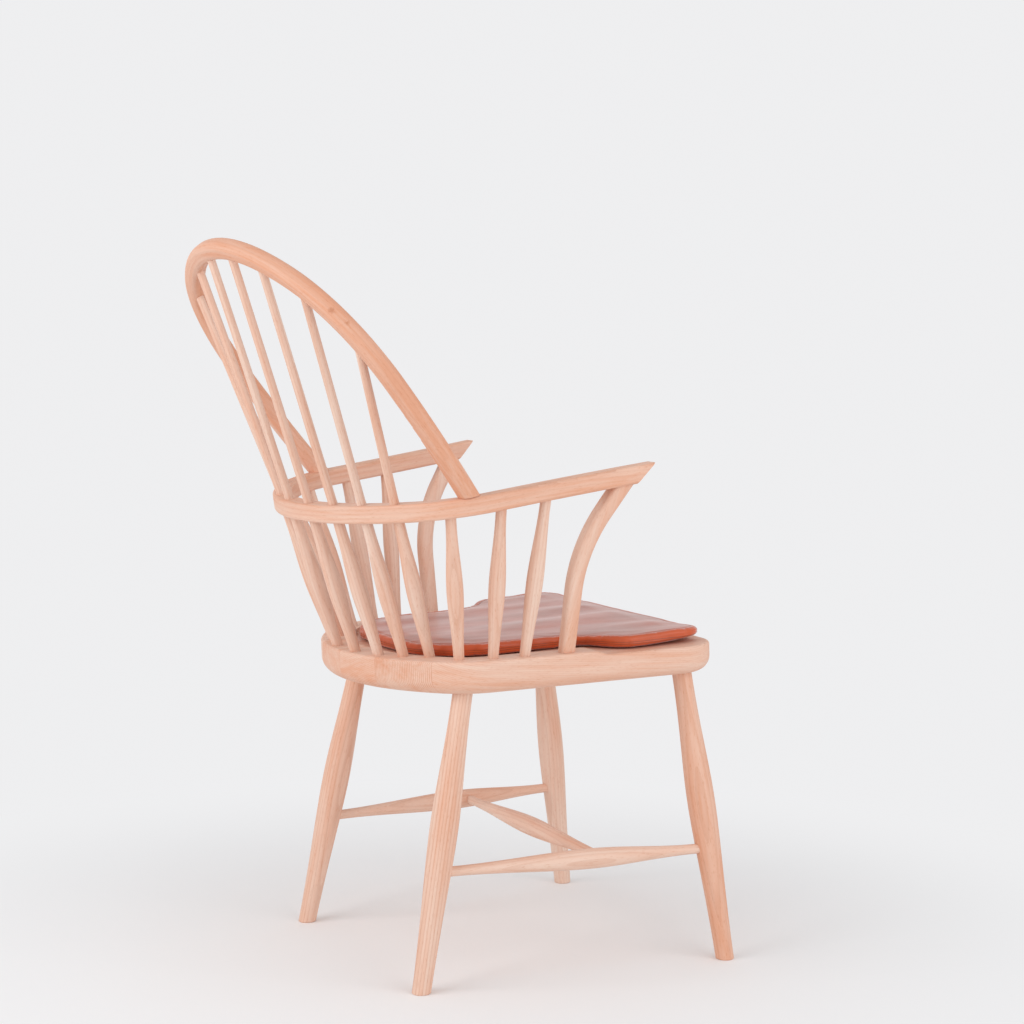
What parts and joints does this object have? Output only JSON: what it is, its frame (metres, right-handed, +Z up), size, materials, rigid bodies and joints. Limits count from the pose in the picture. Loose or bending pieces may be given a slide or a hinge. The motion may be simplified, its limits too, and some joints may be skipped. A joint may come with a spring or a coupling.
{
  "type": "windsor chair",
  "caption": "Windsor armchair with a bent hoop back, a bent arm bow on turned spindles, splayed turned legs joined by stretchers and a loose leather seat pad.",
  "frame": {"origin": "on the floor, at the middle of the chair's footprint box", "axes": "+Z up, the chair faces -Y, +X towards the sitter's left"},
  "size_m": [0.6034, 0.6966, 1.0295],
  "materials": {
    "wood": "satin, pale soaped timber",
    "pad_leather": "smooth cognac leather",
    "pad_filling": "matt"
  },
  "bodies": {
    "root": {"arm_bow": "wood", "arm_stump_left": "wood", "arm_stump_right": "wood", "cross_stretcher": "wood", "hoop": "wood", "leg_back_left": "wood", "leg_back_right": "wood", "leg_front_left": "wood", "leg_front_right": "wood", "long_spindle_left_1": "wood", "long_spindle_left_2": "wood", "long_spindle_left_3": "wood", "long_spindle_left_4": "wood", "long_spindle_right_1": "wood", "long_spindle_right_2": "wood", "long_spindle_right_3": "wood", "long_spindle_right_4": "wood", "pad_bottom_panel": "pad_leather", "pad_filling": "pad_filling", "pad_top_panel": "pad_leather", "seat": "wood", "short_spindle_left_1": "wood", "short_spindle_left_2": "wood", "short_spindle_left_3": "wood", "short_spindle_right_1": "wood", "short_spindle_right_2": "wood", "short_spindle_right_3": "wood", "side_stretcher_left": "wood", "side_stretcher_right": "wood"}
  },
  "joints": []
}
